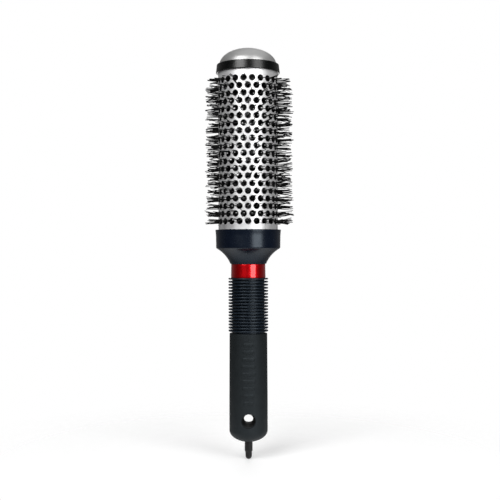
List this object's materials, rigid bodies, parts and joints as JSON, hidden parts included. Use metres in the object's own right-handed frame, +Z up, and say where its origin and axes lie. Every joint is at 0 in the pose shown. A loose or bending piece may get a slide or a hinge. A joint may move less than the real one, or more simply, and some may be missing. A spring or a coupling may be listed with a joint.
{
  "type": "round barrel brush",
  "caption": "Round vented hair brush: perforated barrel with nylon bristles, domed end, flared collar, red band, ribbed grip and soft handle with a hanging hole and short tail.",
  "frame": {"origin": "the tail's tip, the lowest point of the upright brush, on the brush's axis", "axes": "+Z up the brush's axis from the tail to the dome; the hanging hole runs along Y, with the thumb pads facing -Y"},
  "size_m": [0.0566, 0.0566, 0.2635],
  "materials": {
    "tail_plastic": "satin moulded plastic",
    "core_plastic": "matte moulded plastic",
    "soft_sleeve": "soft-touch matte",
    "grip_rubber": "smooth satin rubber",
    "red_gloss": "high gloss",
    "collar_plastic": "satin gloss moulded plastic",
    "plug_plastic": "matte moulded plastic",
    "coated_barrel": "smooth bright ceramic coating on aluminium",
    "steel_wire": "drawn wire",
    "nylon_bristle": "satin nylon filament",
    "gloss_black": "high gloss",
    "dome_grey": "satin"
  },
  "bodies": {
    "root": {"tail_tip": "tail_plastic", "handle_core": "core_plastic", "handle_sleeve": "soft_sleeve", "ribbed_grip": "grip_rubber", "red_band": "red_gloss", "collar": "collar_plastic", "base_plug": "plug_plastic", "barrel_tube": "coated_barrel", "stem_wire_a": "steel_wire", "stem_wire_b": "steel_wire", "end_plug": "plug_plastic", "end_ring": "gloss_black", "dome_cap": "dome_grey", "bristle_row_01": "nylon_bristle", "bristle_row_02": "nylon_bristle", "bristle_row_03": "nylon_bristle", "bristle_row_04": "nylon_bristle", "bristle_row_05": "nylon_bristle", "bristle_row_06": "nylon_bristle", "bristle_row_07": "nylon_bristle", "bristle_row_08": "nylon_bristle", "bristle_row_09": "nylon_bristle", "bristle_row_10": "nylon_bristle", "bristle_row_11": "nylon_bristle", "bristle_row_12": "nylon_bristle", "bristle_row_13": "nylon_bristle", "bristle_row_14": "nylon_bristle", "bristle_row_15": "nylon_bristle", "bristle_row_16": "nylon_bristle", "bristle_row_17": "nylon_bristle", "bristle_row_18": "nylon_bristle", "bristle_row_19": "nylon_bristle", "bristle_row_20": "nylon_bristle"}
  },
  "joints": []
}
